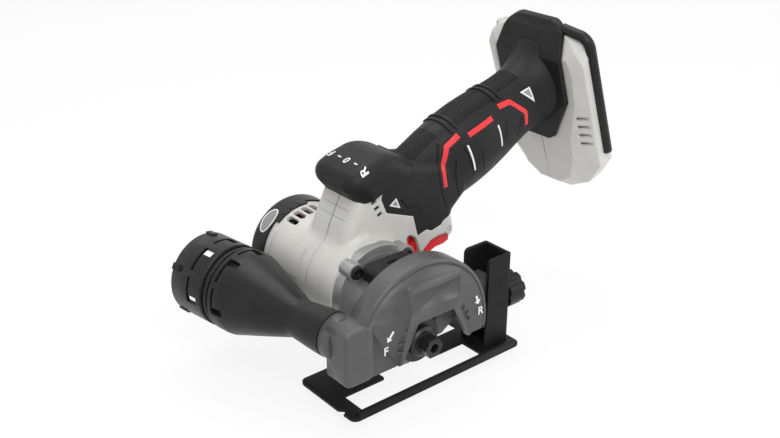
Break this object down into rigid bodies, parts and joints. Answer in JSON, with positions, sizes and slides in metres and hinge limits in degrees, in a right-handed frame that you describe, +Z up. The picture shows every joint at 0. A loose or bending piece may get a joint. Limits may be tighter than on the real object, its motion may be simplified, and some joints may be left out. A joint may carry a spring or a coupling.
{
  "type": "cordless cut-off tool",
  "caption": "Battery-handle cut-off tool: motor barrel across a slanted grip, half guard with dust box and port, clamp spindle, sliding shoe and a bell-shaped dust adapter.",
  "frame": {"origin": "on the spindle axis, at the face of the inner flange that the wheel seats against", "axes": "+X to the rear towards the handle and battery foot, +Y from the wheel to the motor end, +Z up from the shoe"},
  "size_m": [0.2646, 0.1321, 0.1678],
  "materials": {
    "housing_plastic": "moulded satin",
    "soft_grip": "soft overmould",
    "accent_red": "moulded inlay",
    "accent_white": "moulded inlay",
    "control_red": "moulded",
    "black_plastic": "moulded",
    "inset_grey": "moulded",
    "gear_case_metal": "die cast",
    "guard_coat": "satin coat",
    "steel": "ground",
    "black_steel": "blackened",
    "shoe_plate": "black coat on pressed sheet",
    "magnet": "sintered",
    "winding": "wound laminations",
    "bronze": "turned",
    "inner_black": "moulded",
    "carbon": "pressed carbon",
    "lead_red": "insulation"
  },
  "bodies": {
    "tool_body": {"housing_left": "housing_plastic", "housing_right": "housing_plastic", "grip_left": "soft_grip", "grip_right": "soft_grip", "grip_stripes": "accent_red", "grip_slits": "accent_white", "pommel_cap": "soft_grip", "motor_end_cap": "black_plastic", "end_cap_inset": "inset_grey", "foot_panel": "soft_grip", "foot_bumpers": "black_plastic", "gear_case": "gear_case_metal", "gear_plate": "gear_case_metal", "gear_case_screws": "black_steel", "motor_screws": "black_steel", "guard": "guard_coat", "guard_screws": "black_steel", "front_spindle_bearing": "steel", "rear_spindle_bearing": "steel", "front_motor_bush": "bronze", "rear_motor_bush": "bronze", "motor_can": "steel", "motor_magnets": "magnet", "brush_carrier": "inner_black", "carbon_brushes": "carbon", "switch_module": "inner_black", "terminal_block": "inner_black", "terminal_blades": "bronze", "housing_screws": "black_steel", "trigger_pin": "steel", "lever_pin": "steel", "depth_stud": "steel", "trigger_spring": "steel", "lever_spring": "steel", "spindle_lock_spring": "steel", "battery_leads": "lead_red", "motor_leads": "lead_red"},
    "spindle": {"spindle_shaft": "steel", "driven_gear": "steel", "inner_flange": "black_steel", "outer_flange": "black_steel", "clamp_screw": "black_steel"},
    "rotor": {"motor_shaft": "steel", "armature": "winding", "commutator": "bronze", "motor_fan": "inner_black", "pinion": "steel"},
    "trigger": {"trigger_lever": "control_red"},
    "lock_off": {"lock_lever": "control_red"},
    "selector": {"selector_slide": "black_plastic"},
    "spindle_lock": {"lock_button": "black_plastic"},
    "shoe": {"base_plate": "shoe_plate", "riser_bracket": "shoe_plate", "shoe_rivets": "shoe_plate"},
    "clamp_knob": {"depth_knob": "black_plastic"},
    "adapter": {"dust_adapter": "black_plastic"}
  },
  "joints": [
    {"name": "rotor_spin", "type": "hinge", "parent": "tool_body", "child": "rotor", "pos_m": [0, 0.06, 0.014], "axis": [0, 1, 0], "continuous": true},
    {"name": "spindle_spin", "type": "hinge", "parent": "tool_body", "child": "spindle", "pos_m": [0, 0, 0], "axis": [0, 1, 0], "continuous": true},
    {"name": "trigger_pull", "type": "hinge", "parent": "tool_body", "child": "trigger", "pos_m": [0.0615, 0.059, 0.0285], "axis": [0, 1, 0], "range_deg": [0, 8], "stiffness_Nm_per_rad": 0.3, "springref_deg": -17.19},
    {"name": "lock_off_swing", "type": "hinge", "parent": "tool_body", "child": "lock_off", "pos_m": [0.0355, 0.059, 0.0275], "axis": [0, 1, 0], "range_deg": [0, 8], "stiffness_Nm_per_rad": 0.2, "springref_deg": -17.19},
    {"name": "direction_slide", "type": "slide", "parent": "tool_body", "child": "selector", "axis": [0, 1, 0], "range_m": [-0.004, 0.004]},
    {"name": "spindle_lock_press", "type": "slide", "parent": "tool_body", "child": "spindle_lock", "axis": [0, 0, -1], "range_m": [0, 0.003], "stiffness_N_per_m": 400, "springref_m": -0.004, "deforming": ["spindle_lock_spring"]},
    {"name": "depth_slide", "type": "slide", "parent": "tool_body", "child": "shoe", "axis": [0, 0, 1], "range_m": [-0.006, 0.013]},
    {"name": "knob_turn", "type": "hinge", "parent": "tool_body", "child": "clamp_knob", "pos_m": [0.07, 0.0095, -0.0025], "axis": [1, 0, 0], "range_deg": [0, 180]},
    {"name": "adapter_pull", "type": "slide", "parent": "tool_body", "child": "adapter", "axis": [-0.153, 0.9882, 0], "range_m": [0, 0.012]}
  ],
  "couplings": [
    {"joint": "spindle_spin", "follows": "rotor_spin", "ratio": -0.75}
  ]
}
